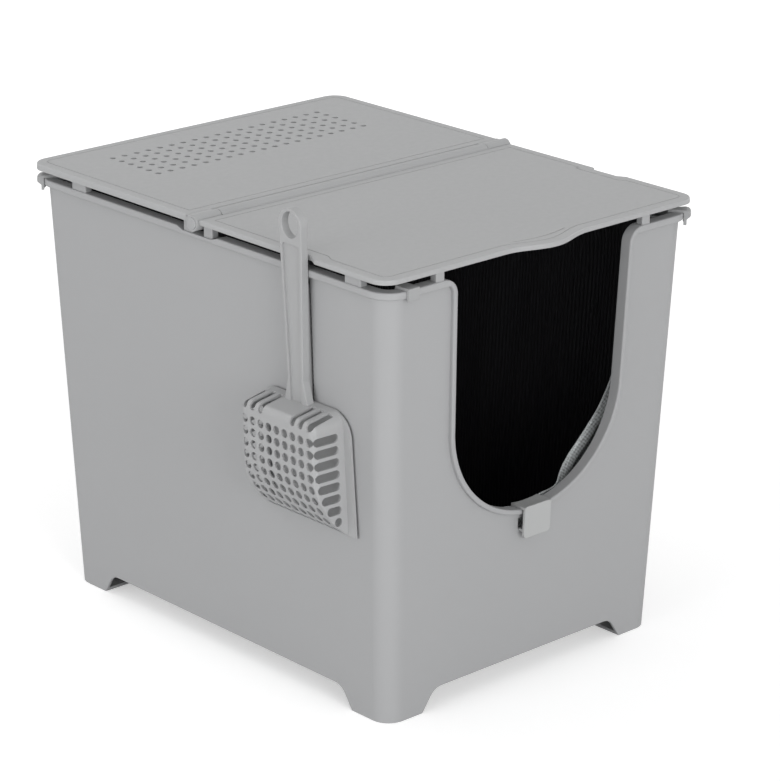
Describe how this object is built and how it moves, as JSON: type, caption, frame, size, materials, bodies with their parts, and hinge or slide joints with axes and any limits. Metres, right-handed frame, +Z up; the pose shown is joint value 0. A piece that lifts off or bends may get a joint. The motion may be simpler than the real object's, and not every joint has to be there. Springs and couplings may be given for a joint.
{
  "type": "front entry litter box",
  "caption": "Deep grey litter bucket with a rounded U entry in front, a vented lid whose front half flips up, a fabric liner on hooks and a sieve scoop hung on the side.",
  "frame": {"origin": "middle of the whole object's footprint, on the floor under the feet", "axes": "+X to the right seen from the front, front faces -Y, +Z up"},
  "size_m": [0.4324, 0.533, 0.4864],
  "materials": {
    "bucket": "fine matt moulded",
    "lid": "fine matt moulded",
    "pin": "matt moulded",
    "scoop": "matt moulded",
    "liner": "woven, black ribbed inside, silver grey outside",
    "hook": "matt moulded",
    "clip": "matt moulded"
  },
  "bodies": {
    "bucket": {"base_bucket": "bucket", "rim_post_front_left_side": "bucket", "rim_post_rear_left_side": "bucket", "rim_post_hinge_front_left": "bucket", "rim_post_hinge_rear_left": "bucket", "rim_post_front_left": "bucket", "rim_post_rear_left": "bucket", "rim_post_front_right_side": "bucket", "rim_post_rear_right_side": "bucket", "rim_post_hinge_front_right": "bucket", "rim_post_hinge_rear_right": "bucket", "rim_post_front_right": "bucket", "rim_post_rear_right": "bucket", "liner": "liner", "liner_clip": "clip", "liner_hook_front_right": "hook", "liner_hook_front_left": "hook", "liner_hook_rear_left": "hook", "liner_hook_rear_right": "hook"},
    "rear_half": {"rear_lid": "lid", "rear_lid_knuckle_right": "lid", "rear_lid_knuckle_left": "lid", "hinge_pin_right": "pin", "hinge_pin_left": "pin"},
    "front_half": {"front_lid": "lid", "front_lid_barrel": "lid"},
    "scoop_body": {"scoop": "scoop"}
  },
  "joints": [
    {"name": "rear_lid_lift", "type": "slide", "parent": "bucket", "child": "rear_half", "axis": [0, 0, 1], "range_m": [0, 0.08]},
    {"name": "front_lid_flip", "type": "hinge", "parent": "rear_half", "child": "front_half", "pos_m": [0.01067, 0.00997, 0.439], "axis": [-1, 0, 0], "range_deg": [0, 110]},
    {"name": "scoop_pull", "type": "slide", "parent": "bucket", "child": "scoop_body", "axis": [-1, 0, 0], "range_m": [0, 0.12]}
  ]
}
